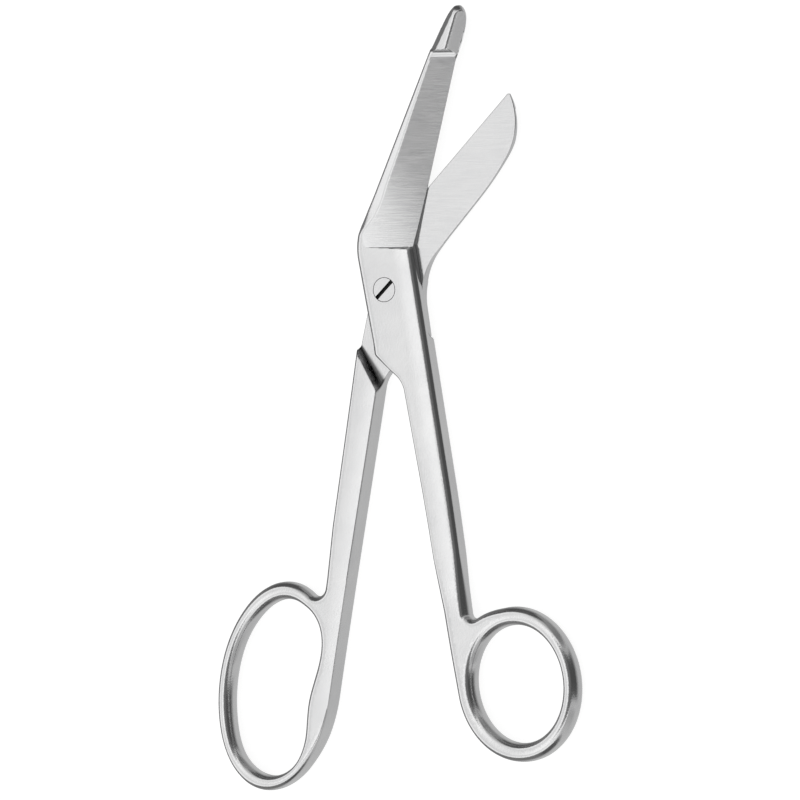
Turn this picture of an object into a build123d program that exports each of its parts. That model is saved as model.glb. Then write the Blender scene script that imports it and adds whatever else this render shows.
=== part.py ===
from build123d import *
from math import acos, cos, degrees, radians, sin
import os

os.makedirs("parts", exist_ok=True)

# Bandage scissors with knee-bent blades, lying flat and partly open.
# Millimetres. The pivot axis is Z at X = Y = 0, the underside lies on Z = 0
# and the blades point along +Y. Each half is drawn in its own frame: x runs
# towards its outer edge, y up its handle towards the blade, and z from its
# inner side to its outer face, so the two halves share every cut.

# Forging
thickness = 6.0
lap_gap = 0.05
edge_round = 1.1
heel_round = 1.6
crotch_round = 7.0
notch_round = 2.4

# Pose: how far each handle leans from the line between them, in degrees
probe_half_lean = 11.5
ring_half_lean = 9.2

# Probe half: lap, handle and oval bow
probe_handle_inner = 0.2
probe_lap_inner = -6.45
probe_lap_outer = 9.3
probe_heel_y = -15.7
probe_heel_angle = 39.0
probe_handle_end_width = 6.75
probe_bow_y = -105.2
probe_bow_half_width = 17.0
probe_bow_half_length = 19.7
probe_bow_side = 4.1
probe_bow_end = 4.7
probe_step_outer = (-13.5, -15.2)
probe_step_inner = (-25.6, -30.4)

# Large-ring half: lap, handle and long bow
ring_handle_inner = -1.9
ring_lap_inner = -12.4
ring_lap_outer = 4.9
ring_handle_outer = 5.75
ring_heel_y = -10.0
ring_heel_angle = 40.7
ring_handle_end_width = 6.5
ring_bow_y = -104.6
ring_bow_half_width = 16.5
ring_bow_half_length = 26.4
ring_step_outer = (-14.8, -16.5)
ring_step_inner = (-23.6, -28.0)

# Hole of the long bow, as shares of the bow's half width and half length:
# its handle side swells between the fingers
long_hole = [
    (0.05, 0.83),
    (0.50, 0.565),
    (0.745, 0.13),
    (0.665, -0.40),
    (0.345, -0.755),
    (-0.15, -0.845),
    (-0.49, -0.70),
    (-0.58, -0.435),
    (-0.55, -0.095),
    (-0.635, 0.415),
    (-0.495, 0.68),
]

# Heel: edge broken to clear the other half's step, which has a hollow face.
# A step's pairs are where its foot and its lip are, along the handle
heel_chamfer = 1.2

# Probe blade, from the pivot: x across towards the edge, y along the edge
probe_knee = 25.4
probe_edge_offset = 4.5
probe_spine_lean = 9.6
probe_spine_end = -3.2
probe_knee_round = 16.0
probe_shoulder_s = 11.9
probe_cove_s = 62.0
probe_cove_round = 2.2
probe_base_y = 61.0

# Large-ring half's blade, from the pivot
ring_knee = -34.6
ring_edge_offset = 10.0
ring_spine_lean = 5.0
ring_spine_root = (-4.12, 7.72)
ring_spine_straight = 38.4
ring_waist_round = 12.5
ring_tip_y = 59.4
ring_tip_blunt = 0.5
ring_step_corner_round = 60.0
ring_shoulder_s = 13.0

# Blade grinds
grind_tilt = 9.0
grind_skew = 13.9
grind_run_out = 18.0
grind_rise = 0.6
edge_land = 0.35
spine_wall = 1.15
spine_slope = 16.7
spine_run_out = 5.0
spine_rise = 2.2

# Probe tip: its outline from the end of the blade, and the facets either side of its ridge
probe_shape = [(-1.9, 5.7), (-0.8, 9.8), (0.4, 12.4), (2.4, 13.8), (4.1, 12.7), (5.1, 9.6), (5.2, 5.5)]
probe_root = 4.0
probe_ridge_height = 2.5
probe_left_facet = (-0.4, 63.1)
probe_left_lean = 13.4
probe_left_slope = 38.0
probe_right_facet = (2.1, 63.1)
probe_right_lean = 1.5
probe_right_slope = -42.0
facet_start = -1.9
facet_run_out = 1.5
facet_rise = 0.8
probe_nose_length = 5.0
probe_nose_height = 0.5
pad_x = 1.4
pad_setback = 1.6
pad_half_width = 3.0
pad_half_length = 5.3
pad_drop = 1.1
pad_round = 0.8

# Pivot screw
screw_head_radius = 3.1
screw_head_depth = 1.4
screw_journal_radius = 2.2
screw_thread_radius = 1.9
screw_slot_width = 1.0
screw_slot_depth = 0.8
screw_slot_angle = 45.0
screw_end_chamfer = 0.3
bearing_clearance = 0.03
head_clearance = 0.05
thread_clearance = 0.03

lap_face = (thickness + lap_gap) / 2
reach = 150.0
cut_height = 2 * thickness

probe_frame = Plane(
    origin=(0, 0, 0),
    x_dir=(cos(radians(probe_half_lean)), sin(radians(probe_half_lean)), 0),
    z_dir=(0, 0, 1),
)
ring_frame = Plane(
    origin=(0, 0, thickness),
    x_dir=(-cos(radians(ring_half_lean)), sin(radians(ring_half_lean)), 0),
    z_dir=(0, 0, -1),
)


def blade_frame(frame, knee):
    """Frame of a blade: x across it towards the edge, y along the edge."""
    turn = radians(knee)
    across = frame.x_dir * cos(turn) - frame.y_dir * sin(turn)
    return Plane(origin=frame.origin, x_dir=across, z_dir=frame.z_dir)


probe_blade = blade_frame(probe_frame, probe_knee)
ring_blade = blade_frame(ring_frame, ring_knee)


def on_blade(knee, across, along):
    """Half-frame point for a point given across and along a blade's edge."""
    turn = radians(knee)
    return (
        across * cos(turn) + along * sin(turn),
        along * cos(turn) - across * sin(turn),
    )


def meet(first, first_angle, second, second_angle):
    """Where two lines cross; each has a point and an angle from +y towards +x."""
    dx, dy = sin(radians(first_angle)), cos(radians(first_angle))
    ex, ey = sin(radians(second_angle)), cos(radians(second_angle))
    reach_along = ((second[0] - first[0]) * ey - (second[1] - first[1]) * ex) / (dx * ey - dy * ex)
    return (first[0] + reach_along * dx, first[1] + reach_along * dy)


def lean_of(start, end):
    """Angle of the line between two points, from +y towards +x."""
    return degrees(acos((end[1] - start[1]) / Vector(end[0] - start[0], end[1] - start[1]).length)) * (
        1 if end[0] >= start[0] else -1
    )


def bow_end(handle_inner, end_width, bow_y, half_width, half_length):
    """Angle round the bow, and point on it, where the handle's outer edge lands."""
    x = handle_inner + end_width
    angle = acos((end_width - half_width) / half_width)
    return degrees(angle), (x, bow_y + half_length * sin(angle))


def lap_relief(frame, inner_x, outer_x, step_inner, step_outer):
    """Clear the inner side of a lap and blade, up to the hollow step on the handle."""

    def profile(x):
        share = (x - inner_x) / (outer_x - inner_x)
        foot = step_inner[0] + share * (step_outer[0] - step_inner[0])
        lip = step_inner[1] + share * (step_outer[1] - step_inner[1])
        side = Plane(
            origin=frame.from_local_coords((x, 0, 0)),
            x_dir=frame.y_dir,
            z_dir=frame.x_dir,
        )
        with BuildSketch(side) as outline:
            with BuildLine():
                TangentArc((foot, lap_face), (lip, 0), tangent=(-1, 0))
                Polyline((lip, 0), (lip, -thickness), (reach, -thickness), (reach, lap_face), (foot, lap_face))
            make_face()
        return outline.sketch

    loft([profile(outer_x + edge_round), profile(inner_x - reach / 3)], ruled=True, mode=Mode.SUBTRACT)
    with BuildSketch(frame) as blade_side:
        with Locations((0, step_outer[0])):
            Rectangle(reach, reach, align=(Align.CENTER, Align.MIN))
    extrude(blade_side.sketch, amount=lap_face, mode=Mode.SUBTRACT)


def break_heel(frame, heel, crotch):
    """Break the lap's inner edge along its heel."""
    start = Vector(*heel)
    length = (Vector(*crotch) - start).length
    share = (Vector(*crotch) - start) / length
    along = frame.x_dir * share.X + frame.y_dir * share.Y
    inward = frame.y_dir * share.X - frame.x_dir * share.Y
    origin = Vector(frame.from_local_coords((*heel, lap_face))) - along * heel_round
    with BuildSketch(Plane(origin=origin, x_dir=inward, z_dir=along)) as wedge:
        with BuildLine():
            Polyline(
                (heel_chamfer, 0),
                (-heel_chamfer, 2 * heel_chamfer),
                (-heel_chamfer, 0),
                close=True,
            )
        make_face()
    extrude(wedge.sketch, amount=heel_round + length, mode=Mode.SUBTRACT)


def ground_face(blade, edge_offset, start, end, end_round):
    """Grind the flat that falls from the blade's crest to its edge, with its run-outs."""
    tilt, skew = radians(grind_tilt), radians(grind_skew)
    normal = blade.x_dir * sin(tilt) + blade.z_dir * cos(tilt)
    grain = blade.x_dir * cos(skew) + blade.y_dir * sin(skew)
    across = grain - normal * grain.dot(normal)
    root = blade.from_local_coords((edge_offset, 0, lap_face + edge_land))
    with BuildSketch(Plane(origin=root, x_dir=normal.cross(across), z_dir=across)) as profile:
        with BuildLine():
            TangentArc((start + grind_run_out, 0), (start, grind_rise), tangent=(-1, 0))
            Line((start + grind_run_out, 0), (end - end_round, 0))
            TangentArc((end - end_round, 0), (end, end_round), tangent=(1, 0))
            Polyline((end, end_round), (end, cut_height), (start, cut_height), (start, grind_rise))
        make_face()
    extrude(profile.sketch, amount=reach / 3, both=True, mode=Mode.SUBTRACT)


def bevel(blade, root, lean, height, slope, start, end, run_out, rise):
    """Cut a sloping flat along a line on a blade, with a curved run-out at its start."""
    turn, fall = radians(lean), radians(slope)
    along = blade.y_dir * cos(turn) + blade.x_dir * sin(turn)
    inward = blade.x_dir * cos(turn) - blade.y_dir * sin(turn)
    normal = blade.z_dir * cos(fall) - inward * sin(fall)
    origin = blade.from_local_coords((*root, height))
    with BuildSketch(Plane(origin=origin, x_dir=along, z_dir=along.cross(normal))) as profile:
        with BuildLine():
            TangentArc((start + run_out, 0), (start, rise), tangent=(-1, 0))
            Polyline(
                (start + run_out, 0),
                (end, 0),
                (end, cut_height),
                (start, cut_height),
                (start, rise),
            )
        make_face()
    extrude(profile.sketch, amount=reach / 3, both=True, mode=Mode.SUBTRACT)


def round_edges(half, blade):
    """Round both faces of a forging all round, except along the cutting edge."""
    faces = half.faces().sort_by(Axis.Z)
    rims = faces[0].edges() + faces[-1].edges()
    blunt = rims - rims.filter_by(Axis(blade.origin, blade.y_dir))
    fillet(blunt.filter_by(lambda edge: edge.length > edge_round), edge_round)


def round_notch(half, frame, notch):
    """Round the notch between a handle's outer edge and its bow."""
    middle = frame.from_local_coords((*notch, thickness / 2))
    fillet(half.edges().filter_by(Axis.Z).sort_by_distance(middle)[0], notch_round)


# Probe half: places on its outline
probe_spine_foot = on_blade(probe_knee, probe_spine_end, probe_base_y)
probe_knee_corner = meet((probe_lap_inner, 0), 0, probe_spine_foot, probe_knee + probe_spine_lean)
probe_edge_foot = on_blade(probe_knee, probe_edge_offset, 0)
probe_edge_end = on_blade(probe_knee, probe_edge_offset, probe_base_y)
probe_heel = (probe_lap_inner, probe_heel_y)
probe_crotch = meet((probe_handle_inner, 0), 0, probe_heel, 180 - probe_heel_angle)
probe_notch_angle, probe_notch = bow_end(
    probe_handle_inner,
    probe_handle_end_width,
    probe_bow_y,
    probe_bow_half_width,
    probe_bow_half_length,
)
probe_outer_lean = lean_of(probe_notch, (probe_lap_outer, 0))
probe_ricasso = meet(probe_notch, probe_outer_lean, probe_edge_foot, probe_knee)
probe_bow_centre = (probe_handle_inner + probe_bow_half_width, probe_bow_y)
probe_outline = [(across, probe_base_y + along) for across, along in probe_shape]
probe_length = max(along for across, along in probe_shape)
probe_tip_y = probe_base_y + probe_length
probe_spine_length = Vector(
    probe_spine_foot[0] - probe_knee_corner[0], probe_spine_foot[1] - probe_knee_corner[1]
).length

with BuildPart() as probe_half:
    with BuildSketch(probe_frame):
        with BuildLine():
            FilletPolyline(
                (probe_handle_inner, probe_bow_y),
                probe_crotch,
                probe_heel,
                probe_knee_corner,
                probe_spine_foot,
                radius=[crotch_round, heel_round, probe_knee_round],
            )
            Polyline(probe_spine_foot, probe_edge_end, probe_ricasso, probe_notch)
            EllipticalCenterArc(
                probe_bow_centre,
                probe_bow_half_width,
                probe_bow_half_length,
                start_angle=180,
                arc_size=180 + probe_notch_angle,
            )
        make_face()
        with Locations(probe_bow_centre):
            Ellipse(
                probe_bow_half_width - probe_bow_side,
                probe_bow_half_length - probe_bow_end,
                mode=Mode.SUBTRACT,
            )
    extrude(amount=thickness)
    round_notch(probe_half, probe_frame, probe_notch)
    round_edges(probe_half, probe_blade)
    lap_relief(
        probe_frame,
        probe_handle_inner,
        probe_lap_outer,
        probe_step_inner,
        probe_step_outer,
    )
    break_heel(probe_frame, probe_heel, probe_crotch)

    # Probe: a blunt nose that carries on from the blade
    with BuildSketch(probe_blade.offset(lap_face)):
        with BuildLine():
            Spline((probe_spine_end, probe_base_y), *probe_outline, (probe_edge_offset, probe_base_y))
            Polyline(
                (probe_edge_offset, probe_base_y),
                (probe_edge_offset, probe_base_y - probe_root),
                (probe_spine_end, probe_base_y - probe_root),
                (probe_spine_end, probe_base_y),
            )
        make_face()
    extrude(amount=probe_ridge_height)
    ground_face(probe_blade, probe_edge_offset, probe_shoulder_s, probe_cove_s, probe_cove_round)
    bevel(
        probe_blade,
        (probe_spine_end, probe_base_y),
        probe_spine_lean,
        lap_face + spine_wall,
        spine_slope,
        -probe_spine_length,
        0,
        spine_run_out,
        spine_rise,
    )

    # Facets either side of the probe's ridge, and its rounded nose
    ridge = lap_face + probe_ridge_height
    for root, lean, slope in (
        (probe_left_facet, probe_left_lean, probe_left_slope),
        (probe_right_facet, probe_right_lean, probe_right_slope),
    ):
        bevel(
            probe_blade,
            root,
            lean,
            ridge,
            slope,
            facet_start,
            probe_length,
            facet_run_out,
            facet_rise,
        )
    nose_start = probe_tip_y - probe_nose_length
    with BuildSketch(Plane(origin=probe_blade.origin, x_dir=probe_blade.y_dir, z_dir=probe_blade.x_dir)):
        with BuildLine():
            TangentArc(
                (nose_start, ridge),
                (probe_tip_y, lap_face + probe_nose_height),
                tangent=(1, 0),
            )
            Polyline(
                (probe_tip_y, lap_face + probe_nose_height),
                (probe_tip_y + probe_length, lap_face + probe_nose_height),
                (probe_tip_y + probe_length, cut_height),
                (nose_start, cut_height),
                (nose_start, ridge),
            )
        make_face()
    extrude(amount=2 * probe_length, both=True, mode=Mode.SUBTRACT)

    # Smooth pad under the probe, past the reach of the other blade's tip
    pad_centre = (pad_x, probe_tip_y - pad_setback - pad_half_length)
    with BuildSketch(probe_blade.offset(lap_face)):
        with Locations(pad_centre):
            Ellipse(pad_half_width, pad_half_length)
    extrude(amount=-pad_drop)
    pad_middle = probe_blade.from_local_coords((*pad_centre, lap_face - pad_drop))
    pad_face = probe_half.faces().filter_by(Axis.Z).sort_by_distance(pad_middle)[0]
    fillet(pad_face.edges(), pad_round)

    # Bore and counterbore for the pivot screw
    with Locations((0, 0, thickness)):
        CounterBoreHole(
            screw_journal_radius + bearing_clearance,
            screw_head_radius + head_clearance,
            screw_head_depth,
        )

probe_half.part.label = "probe_half"
export_step(probe_half.part, "parts/probe_half.step")

# Large-ring half: places on its outline
ring_heel = (ring_lap_inner, ring_heel_y)
ring_crotch = meet((ring_handle_inner, 0), 0, ring_heel, 180 - ring_heel_angle)
ring_waist = on_blade(ring_knee, *ring_spine_root)
ring_spine_end = on_blade(
    ring_knee,
    ring_spine_root[0] + ring_spine_straight * sin(radians(ring_spine_lean)),
    ring_spine_root[1] + ring_spine_straight * cos(radians(ring_spine_lean)),
)
ring_spine_turn = radians(ring_knee + ring_spine_lean)
ring_belly_end = on_blade(ring_knee, ring_edge_offset - ring_tip_blunt, ring_tip_y)
ring_tip = on_blade(ring_knee, ring_edge_offset, ring_tip_y - ring_tip_blunt)
ring_step_corner = (ring_handle_outer, ring_step_outer[0])
ring_lap_lean = lean_of(ring_step_corner, (ring_lap_outer, 0))
ring_shoulder = meet(ring_step_corner, ring_lap_lean, ring_tip, ring_knee)
ring_notch_angle, ring_notch = bow_end(
    ring_handle_inner,
    ring_handle_end_width,
    ring_bow_y,
    ring_bow_half_width,
    ring_bow_half_length,
)
ring_bow_centre = (ring_handle_inner + ring_bow_half_width, ring_bow_y)

with BuildPart() as large_ring_half:
    with BuildSketch(ring_frame):
        with BuildLine():
            FilletPolyline(
                (ring_handle_inner, ring_bow_y),
                ring_crotch,
                ring_heel,
                ring_waist,
                ring_spine_end,
                radius=[crotch_round, heel_round, ring_waist_round],
            )
            TangentArc(
                ring_spine_end,
                ring_belly_end,
                tangent=(sin(ring_spine_turn), cos(ring_spine_turn)),
            )
            Line(ring_belly_end, ring_tip)
            FilletPolyline(
                ring_tip,
                ring_shoulder,
                ring_step_corner,
                ring_notch,
                radius=[0, ring_step_corner_round],
            )
            EllipticalCenterArc(
                ring_bow_centre,
                ring_bow_half_width,
                ring_bow_half_length,
                start_angle=180,
                arc_size=180 + ring_notch_angle,
            )
        make_face()
        with BuildLine():
            Spline(
                *[
                    (ring_bow_centre[0] + x * ring_bow_half_width, ring_bow_centre[1] + y * ring_bow_half_length)
                    for x, y in long_hole
                ],
                periodic=True,
            )
        make_face(mode=Mode.SUBTRACT)
    extrude(amount=thickness)
    round_notch(large_ring_half, ring_frame, ring_notch)
    round_edges(large_ring_half, ring_blade)
    lap_relief(
        ring_frame,
        ring_handle_inner,
        ring_handle_outer,
        ring_step_inner,
        ring_step_outer,
    )
    break_heel(ring_frame, ring_heel, ring_crotch)
    ground_face(ring_blade, ring_edge_offset, ring_shoulder_s, reach / 2, edge_round)
    bevel(
        ring_blade,
        ring_spine_root,
        ring_spine_lean,
        lap_face + spine_wall,
        spine_slope,
        0,
        reach / 2,
        spine_run_out,
        spine_rise,
    )

    # Tapped hole for the pivot screw
    with Locations((0, 0, thickness)):
        Hole(screw_thread_radius + thread_clearance)

large_ring_half.part.label = "large_ring_half"
export_step(large_ring_half.part, "parts/large_ring_half.step")

# Pivot screw: flush slotted head, plain journal and threaded end
head_bottom = thickness - screw_head_depth + bearing_clearance
journal_bottom = (thickness - lap_gap) / 2
with BuildPart() as pivot_screw:
    with BuildSketch(Plane.XZ):
        with BuildLine():
            Polyline(
                (0, 0),
                (screw_thread_radius - screw_end_chamfer, 0),
                (screw_thread_radius, screw_end_chamfer),
                (screw_thread_radius, journal_bottom),
                (screw_journal_radius, journal_bottom),
                (screw_journal_radius, head_bottom),
                (screw_head_radius, head_bottom),
                (screw_head_radius, thickness),
                (0, thickness),
                close=True,
            )
        make_face()
    revolve(axis=Axis.Z)
    with BuildSketch(Plane.XY.offset(thickness)):
        Rectangle(4 * screw_head_radius, screw_slot_width, rotation=screw_slot_angle)
    extrude(amount=-screw_slot_depth, mode=Mode.SUBTRACT)

pivot_screw.part.label = "pivot_screw"
export_step(pivot_screw.part, "parts/pivot_screw.step")
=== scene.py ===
from functools import partial
from math import acos, cos, pi, radians, sin, tan
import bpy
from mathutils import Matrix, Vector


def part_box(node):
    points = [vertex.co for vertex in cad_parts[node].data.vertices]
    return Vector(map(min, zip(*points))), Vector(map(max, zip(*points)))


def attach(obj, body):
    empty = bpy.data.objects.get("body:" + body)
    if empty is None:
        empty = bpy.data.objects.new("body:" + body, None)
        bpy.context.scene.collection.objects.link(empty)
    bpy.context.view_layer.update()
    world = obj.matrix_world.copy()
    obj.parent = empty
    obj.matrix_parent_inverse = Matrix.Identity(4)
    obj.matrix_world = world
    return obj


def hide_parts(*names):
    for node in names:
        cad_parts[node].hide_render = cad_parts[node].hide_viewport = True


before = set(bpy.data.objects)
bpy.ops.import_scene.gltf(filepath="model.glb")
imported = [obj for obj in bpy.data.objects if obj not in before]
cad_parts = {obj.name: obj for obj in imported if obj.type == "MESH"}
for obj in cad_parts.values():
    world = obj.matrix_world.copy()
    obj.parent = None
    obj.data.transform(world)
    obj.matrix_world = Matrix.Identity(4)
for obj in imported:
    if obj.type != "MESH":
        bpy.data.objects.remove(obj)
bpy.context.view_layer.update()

from types import SimpleNamespace

import bpy
import numpy as np
from bpy.props import FloatProperty, FloatVectorProperty, PointerProperty
from mathutils.geometry import delaunay_2d_cdt
from mathutils.kdtree import KDTree

bl_info = {
    "name": "Bandage scissors",
    "version": (1, 0, 0),
    "blender": (4, 5, 0),
    "location": "View3D > Sidebar > Scissors",
    "description": "Builds bandage scissors with knee-bent blades on their CAD frame",
    "category": "Mesh",
}

# Shapes below are in millimetres, as in the CAD. Each half is drawn in its own
# frame: x towards its outer edge, y up its handle, z from its inner side out.
MM = 0.001
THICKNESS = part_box("probe_half")[1][2] / MM
LAP_GAP = 0.05
LAP_FACE = (THICKNESS + LAP_GAP) / 2

# The two halves. A step's pairs are where its foot and its lip lie along the
# handle. The sway sets a bow to one side, over a span of the handle.
PROBE = SimpleNamespace(
    lean=11.5,
    turned=False,
    handle_inner=0.2,
    end_width=6.75,
    wall_top=(9.3, 0.0),
    lap_inner=-6.45,
    lap_outer=9.3,
    heel=(-6.45, -15.7),
    heel_angle=39.0,
    heel_round=1.6,
    heel_chamfer=2.0,
    heel_fade=-1.5,
    inner_round=0.8,
    lap_round=1.8,
    notch_round=1.6,
    notch_rise=1.9,
    bow_y=-105.2,
    bow_half=(17.0, 19.7),
    hole_half=(12.5, 15.0),
    hole_shift=0.4,
    sway=(-0.8, 0.0),
    sway_span=(-50.0, -98.0),
    step_outer=(-12.6, -13.9),
    step_inner=(-25.6, -30.4),
    step_span=(0.2, 9.3),
    knee=25.4,
    edge_offset=4.5,
    spine_root=(-3.2, 61.0),
    spine_lean=9.6,
    shoulder=11.9,
    cove=(62.0, 2.2),
)
RING = SimpleNamespace(
    lean=9.2,
    turned=True,
    handle_inner=-1.9,
    end_width=6.5,
    wall_top=(5.75, -14.8),
    lap_inner=-12.4,
    lap_outer=4.9,
    heel=(-12.4, -10.0),
    heel_angle=40.7,
    heel_round=0.7,
    heel_chamfer=1.0,
    heel_fade=2.0,
    inner_round=0.45,
    lap_round=0.2,
    notch_round=2.4,
    notch_rise=0.0,
    bow_y=-104.8,
    bow_half=(16.5, 26.9),
    sway=(0.75, 0.0),
    sway_span=(-10.0, -100.0),
    step_outer=(-14.8, -16.5),
    step_inner=(-22.2, -26.0),
    step_span=(-1.9, 5.75),
    knee=-34.6,
    edge_offset=10.0,
    spine_root=(-3.4, 8.26),
    spine_lean=2.0,
    shoulder=13.0,
    cove=(75.0, 1.1),
)
CROTCH_ROUND = 7.0
NOTCH_BLEND = 1.5
PROBE_KNEE_ROUND = 16.0
RING_WAIST_ROUND = 17.0
RING_CORNER_ROUND = 60.0
RING_SPINE_STRAIGHT = 25.8
RING_SPINE_BEND = (-0.85, 47.34)
RING_TIP = (59.4, 0.5)

# Hole of the long bow, in shares of the bow's half width and half length
LONG_HOLE = [
    (0.03, 0.835),
    (0.53, 0.585),
    (0.755, 0.13),
    (0.665, -0.40),
    (0.345, -0.755),
    (-0.17, -0.845),
    (-0.53, -0.70),
    (-0.625, -0.435),
    (-0.595, -0.095),
    (-0.68, 0.415),
    (-0.535, 0.68),
]

# Grinds: angles in degrees, run-outs as a length and a rise
GRIND_TILT = 9.0
GRIND_SKEW = 13.9
GRIND_RUN_OUT = (20.0, 0.95)
GRIND_ROLL = 0.0016
GRIND_ROLL_SPAN = (38.0, 20.0)
GRIND_WALLS = (2.5, 5.0)
EDGE_LAND = 0.35
SPINE_WALL = 1.15
SPINE_SLOPE = 16.7
SPINE_RUN_OUT = (14.0, 2.2)
PROBE_SPINE_PAST = 0.8
RING_SPINE_LENGTH = 75.0
BEVEL_WALL = 4.0
OUT_OF_THE_WAY = 50.0

# Probe tip, on its blade
PROBE_SHAPE = [(-1.9, 66.7), (-0.8, 70.8), (0.4, 73.4), (2.4, 74.8), (4.1, 73.7), (5.1, 70.6), (5.2, 66.5)]
PROBE_ROOT = 57.0
PROBE_TIP = 74.8
PROBE_LENGTH = 13.8
PROBE_RIDGE = LAP_FACE + 2.5
PROBE_HOLLOW = SimpleNamespace(root=(-0.4, 63.1), lean=13.4, width=3.4, depth=2.15, back=3.0)
PROBE_FACET = SimpleNamespace(root=(2.1, 63.1), lean=4.0, slope=-42.0, soft=0.16)
FACET_START = -1.9
FACET_RUN_OUT = (1.5, 0.8)
PROBE_NOSE = (2.8, 1.7)
PAD = SimpleNamespace(centre=(1.4, 67.9), half=(3.0, 5.3), drop=1.1)

# Inner sides: the hollow step and its painted shade, and the handle's slight roll to its inner edge
STEP_POWER = 2.6
STEP_LEAST = 0.4
STEP_LINES = (0, 0.15, 0.3, 0.45, 0.6, 0.72, 0.83, 0.92, 1.0)
STEP_LINE_PAST = (8.0, 3.0)
STEP_LINE_PITCH = 0.22
LIP_MARGIN = 0.3
# Where across the step the painted shade lies, and how strong it is
RECESS_PARTS = (-0.15, 1.1)
RECESS_GAIN = 1.3
INNER_ROLL = SimpleNamespace(depth=0.11, reach=4.6, run=4.5, most=1.3, start=(-10.0, 0.0))
LAP_GRAIN = 0.48
LAP_GRAIN_START = (0.0, 3.0)

# Rounded edges. A pair is where a change begins and where it is whole, counted
# from the line or point that its use names.
EDGE_ANGLES = np.radians([90, 75, 60, 45, 30, 15, 0])
EDGE_MOST = (0.42, 0.40)
UPPER_DEEPEST = 3.2
UNDER_DEEPEST = 2.4
INNER_START = (3.0, 1.0)
BOW_TOP = (2.0, 16.0)
LAP_START = (-4.0, 2.0)
LAP_SIDE = (-1.0, -3.0)
BLADE_START = (0.0, 8.0)
HEEL_START = (2.0, 0.5)
HEEL_END = (0.0, 1.5)
HEEL_SIDE = 1.0
SWELL_RIM = (0.8, 0.9)
SWELL_SIDE = (2.0, -6.0)
SWELL_START = (-30.0, -10.0)
SWELL_END = (14.0, 8.0)
CUTTING_STRIP = 4.0
PROBE_EDGE_START = (5.0, 8.0)
CROWN = SimpleNamespace(reach=5.4, run=3.5, most=1.5, start=(0.0, 10.0))

# Bores, as rings of a radius and a height from the outer face to the lap
HEAD_BORE, JOURNAL_BORE, THREAD_BORE = 3.15, 2.23, 1.93
HEAD_BREAK, BORE_BREAK = 0.03, 0.1
SEAT = THICKNESS - 1.4
PROBE_BORE = [
    (HEAD_BORE + HEAD_BREAK, THICKNESS),
    (HEAD_BORE, THICKNESS - HEAD_BREAK),
    (HEAD_BORE, SEAT),
    (JOURNAL_BORE, SEAT),
    (JOURNAL_BORE, LAP_FACE + BORE_BREAK),
    (JOURNAL_BORE + BORE_BREAK, LAP_FACE),
]
RING_BORE = [
    (THREAD_BORE + BORE_BREAK, THICKNESS),
    (THREAD_BORE, THICKNESS - BORE_BREAK),
    (THREAD_BORE, LAP_FACE + BORE_BREAK),
    (THREAD_BORE + BORE_BREAK, LAP_FACE),
]

# Meshes: spacings and clearances of points, and where the rows of them change
LEAST_WALL = 0.2
LEAST_EDGE = 0.05
WALL_SHARES = (0.25, 0.5, 0.75)
CURVE_POINTS = 1600
BORE_SIDES = 96
NOTCH_PITCH = 0.02
NOTCH_POINTS = 900
MITRE_LEAST = 0.8
LINE_CLEARANCE = 0.1
GRID_CLEARANCE = 0.6
ROW_SHARE = 0.87
PROBE_ROWS = 58.0
SHOULDER_ROWS = (8.5, 12.0)
HANDLE_ROWS = -34.0
SHARP_ANGLE = radians(28)


# Outlines


def fade(value, origin, span):
    """Share from 0 at a span's start to 1 at its end, both counted from an origin."""
    start, end = span
    return np.clip((value - origin - start) / (end - start), 0, 1)


def ease(share):
    """A share that starts and ends softly."""
    return share**2 * (3 - 2 * share)


def on_blade(half, across, along):
    """Half-frame point for a point given across and along a blade's edge."""
    turn = radians(half.knee)
    return (across * cos(turn) + along * sin(turn), along * cos(turn) - across * sin(turn))


def from_edge(half, x, y):
    """The reverse of on_blade."""
    turn = radians(half.knee)
    return x * cos(turn) - y * sin(turn), x * sin(turn) + y * cos(turn)


def meet(first, first_angle, second, second_angle):
    """Where two lines cross; each has a point and an angle from +y towards +x."""
    dx, dy = sin(radians(first_angle)), cos(radians(first_angle))
    ex, ey = sin(radians(second_angle)), cos(radians(second_angle))
    along = ((second[0] - first[0]) * ey - (second[1] - first[1]) * ex) / (dx * ey - dy * ex)
    return (first[0] + along * dx, first[1] + along * dy)


def lean_of(start, end):
    """Angle of the line between two points, from +y towards +x."""
    return np.degrees(np.arctan2(end[0] - start[0], end[1] - start[1]))


def even(path, pitch):
    """A path's points again, spaced evenly."""
    path = np.asarray(path, float)
    length = np.concatenate([[0], np.cumsum(np.hypot(*np.diff(path, axis=0).T))])
    at = np.linspace(0, length[-1], max(2, round(length[-1] / pitch) + 1))
    return np.column_stack([np.interp(at, length, path[:, axis]) for axis in (0, 1)])


def arc(middle, start, end, count=48):
    """Points on the shorter arc about a middle, from start to end."""
    first = np.arctan2(*(start - middle)[::-1])
    last = np.arctan2(*(end - middle)[::-1])
    sweep = (last - first + pi) % (2 * pi) - pi
    angles = first + sweep * np.linspace(0, 1, count)
    radius = np.linalg.norm(start - middle)
    return middle + radius * np.column_stack([np.cos(angles), np.sin(angles)])


def rounded(points, radii):
    """A polyline whose inner corners are rounded."""
    points = [np.array(point, float) for point in points]
    path = [points[0]]
    for before, corner, after, radius in zip(points, points[1:], points[2:], radii):
        back = (before - corner) / np.linalg.norm(before - corner)
        on = (after - corner) / np.linalg.norm(after - corner)
        half_angle = acos(np.clip(back @ on, -1, 1)) / 2
        middle = corner + (back + on) / np.linalg.norm(back + on) * radius / sin(half_angle)
        start = corner + back * radius / tan(half_angle)
        end = corner + on * radius / tan(half_angle)
        path.extend(arc(middle, start, end))
    path.append(points[-1])
    return np.array(path)


def tangent_arc(start, lean, end):
    """Arc that leaves start along a lean and ends at end."""
    start, end = np.array(start), np.array(end)
    side = np.array([cos(radians(lean)), -sin(radians(lean))])
    chord = end - start
    middle = start + side * (chord @ chord) / (2 * chord @ side)
    return arc(middle, start, end)


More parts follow.
